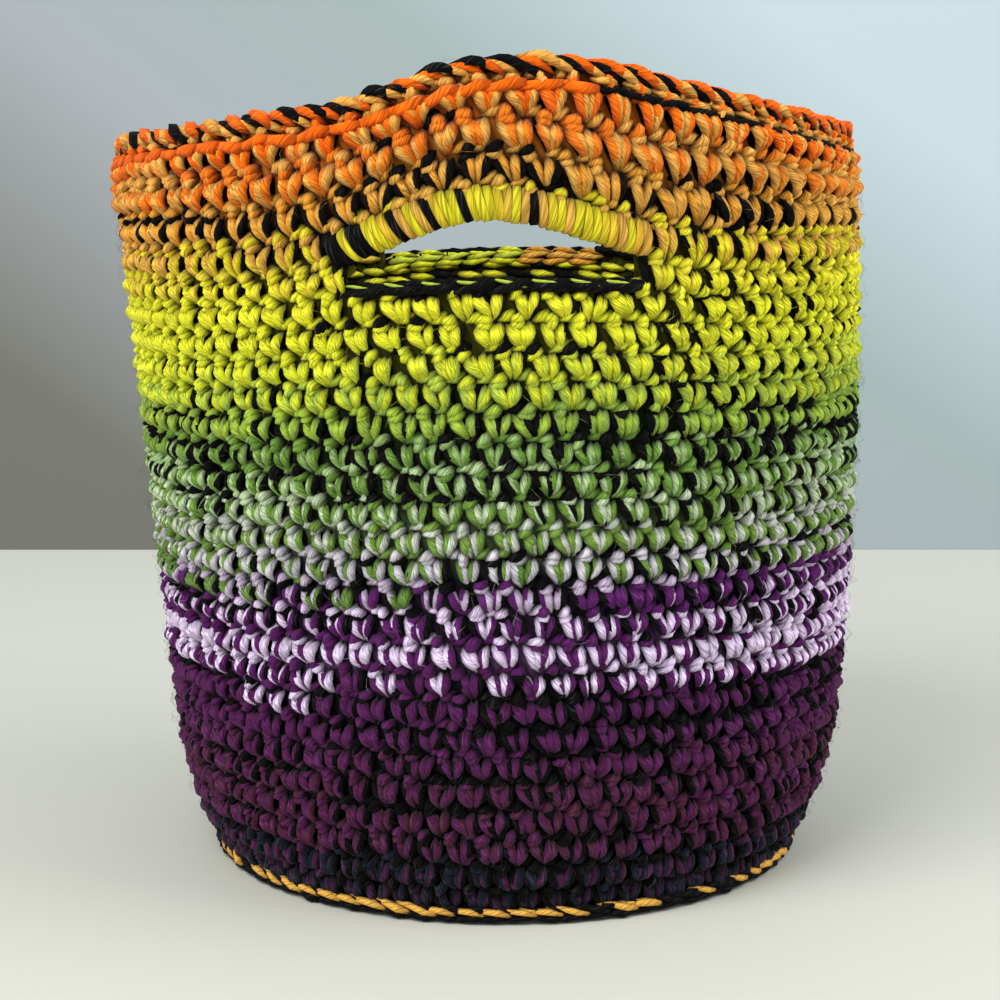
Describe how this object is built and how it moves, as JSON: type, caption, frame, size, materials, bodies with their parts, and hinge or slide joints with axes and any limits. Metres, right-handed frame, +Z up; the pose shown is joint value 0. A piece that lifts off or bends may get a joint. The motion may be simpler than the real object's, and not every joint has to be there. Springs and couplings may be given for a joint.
{
  "type": "crochet tote bag",
  "caption": "Round open crochet tote bag with a flat base, a stitched wall in bands of changing colour, an arched rim and a hand slot on two sides.",
  "frame": {"origin": "centre of the flat underside, on the surface the bag stands on", "axes": "+Z up through the open top, the two hand slots face -Y (front) and +Y (back), +X to the right seen from the front"},
  "size_m": [0.2622, 0.2616, 0.2756],
  "materials": {
    "crochet_yarn": "matte"
  },
  "bodies": {
    "root": {"crochet_bag": "crochet_yarn"}
  },
  "joints": []
}
